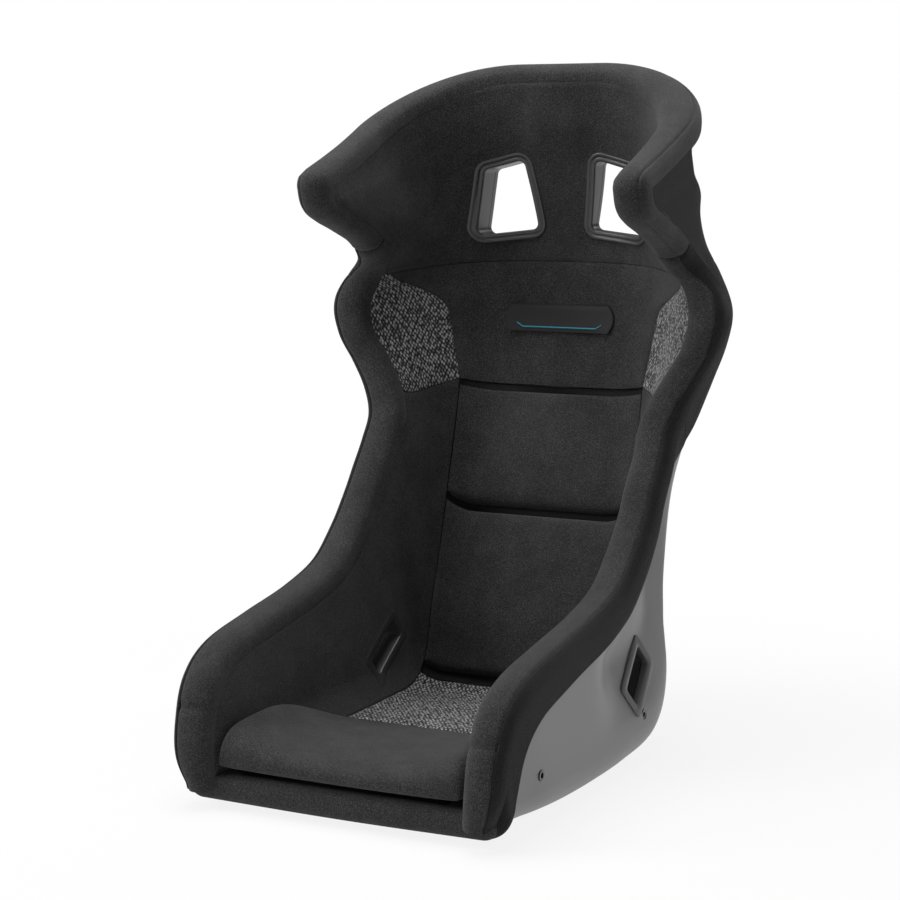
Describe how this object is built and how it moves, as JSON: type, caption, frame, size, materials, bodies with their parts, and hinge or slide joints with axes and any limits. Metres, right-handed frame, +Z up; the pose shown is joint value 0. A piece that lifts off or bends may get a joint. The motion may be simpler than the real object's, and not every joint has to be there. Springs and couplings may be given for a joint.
{
  "type": "bucket seat",
  "caption": "Fixed-back bucket seat with head ring: moulded shell, rolled foam edges, lift-off cushions, shoulder and lap harness slots with bezels, threaded side mounts.",
  "frame": {"origin": "centre of the footprint at the height of the shell's flat underside", "axes": "+Z up, -Y the way the sitter faces, +X the sitter's left"},
  "size_m": [0.5336, 0.6423, 0.8345],
  "materials": {
    "shell": "satin moulded shell",
    "bezel": "satin",
    "insert": "zinc-plated",
    "foam": "foam",
    "hook_tape": "woven",
    "badge": "satin",
    "mesh_fabric": "open knit",
    "knit_fabric": "fine knit"
  },
  "bodies": {
    "seat": {"shell": "shell", "base_foam": "foam", "back_foam": "foam", "side_pad_left": "knit_fabric", "side_pad_right": "knit_fabric", "chest_pad": "knit_fabric", "shoulder_panel_left": "mesh_fabric", "shoulder_panel_right": "mesh_fabric", "head_lining": "knit_fabric", "seat_cushion": "mesh_fabric", "side_roll_left": "knit_fabric", "side_roll_right": "knit_fabric", "ring_roll": "knit_fabric", "lip_roll": "knit_fabric", "rim_cover_left": "knit_fabric", "rim_cover_right": "knit_fabric", "ring_cover_left": "knit_fabric", "ring_cover_right": "knit_fabric", "shoulder_bezel_front_left": "bezel", "shoulder_bezel_front_right": "bezel", "shoulder_bezel_rear_left": "bezel", "shoulder_bezel_rear_right": "bezel", "lap_bezel_inner_left": "bezel", "lap_bezel_inner_right": "bezel", "lap_bezel_outer_left": "bezel", "lap_bezel_outer_right": "bezel", "side_inserts_left": "insert", "side_inserts_right": "insert", "chest_badge": "badge", "seat_hook_strips": "hook_tape", "back_hook_strips": "hook_tape"},
    "thigh_cushion_body": {"thigh_cushion": "knit_fabric"},
    "back_cushion_lower_body": {"back_cushion_lower": "knit_fabric"},
    "back_cushion_upper_body": {"back_cushion_upper": "knit_fabric"}
  },
  "joints": [
    {"name": "thigh_cushion_lift", "type": "slide", "parent": "seat", "child": "thigh_cushion_body", "axis": [0, 0, 1], "range_m": [0, 0.12]},
    {"name": "back_cushion_lower_pull", "type": "slide", "parent": "seat", "child": "back_cushion_lower_body", "axis": [0, -1, 0], "range_m": [0, 0.1]},
    {"name": "back_cushion_upper_pull", "type": "slide", "parent": "seat", "child": "back_cushion_upper_body", "axis": [0, -1, 0], "range_m": [0, 0.1]}
  ]
}
